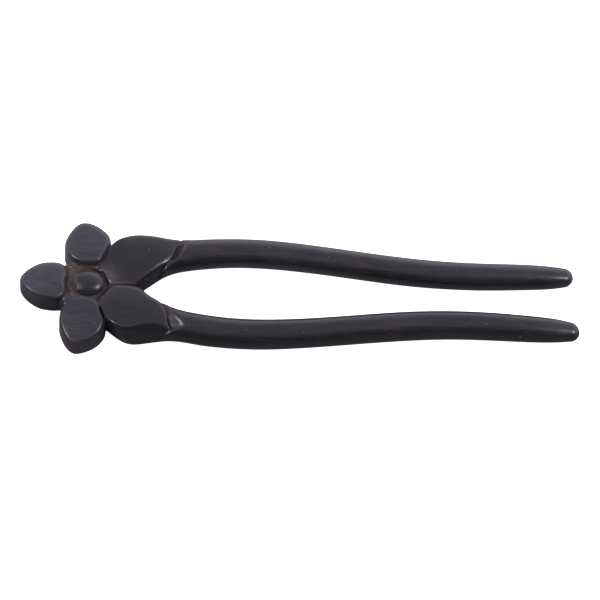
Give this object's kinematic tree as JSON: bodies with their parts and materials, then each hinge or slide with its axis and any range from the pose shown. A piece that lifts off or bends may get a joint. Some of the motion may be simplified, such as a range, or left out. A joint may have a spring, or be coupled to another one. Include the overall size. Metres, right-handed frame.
{
  "type": "hair pin",
  "caption": "Two-pronged hair fork in dark carved wood, with a petalled flower and a domed centre at its head.",
  "frame": {"origin": "centre of the footprint, on the surface that the pin lies on", "axes": "+X along the pin from the flower to the prong tips, +Y to the pin's left, +Z out of the carved face"},
  "size_m": [0.15, 0.0388, 0.0084],
  "materials": {
    "ebony_petal": "hand-carved and waxed, with fine dark grain",
    "ebony_prong": "sanded smooth and waxed, with a soft sheen",
    "ebony_hub": "raw carved wood, reddish brown and dull",
    "ebony_boss": "turned and waxed, with a soft sheen"
  },
  "bodies": {
    "root": {"crown_petal": "ebony_petal", "left_petal": "ebony_petal", "right_petal": "ebony_petal", "left_prong": "ebony_prong", "right_prong": "ebony_prong", "hub": "ebony_hub", "boss": "ebony_boss"}
  },
  "joints": []
}
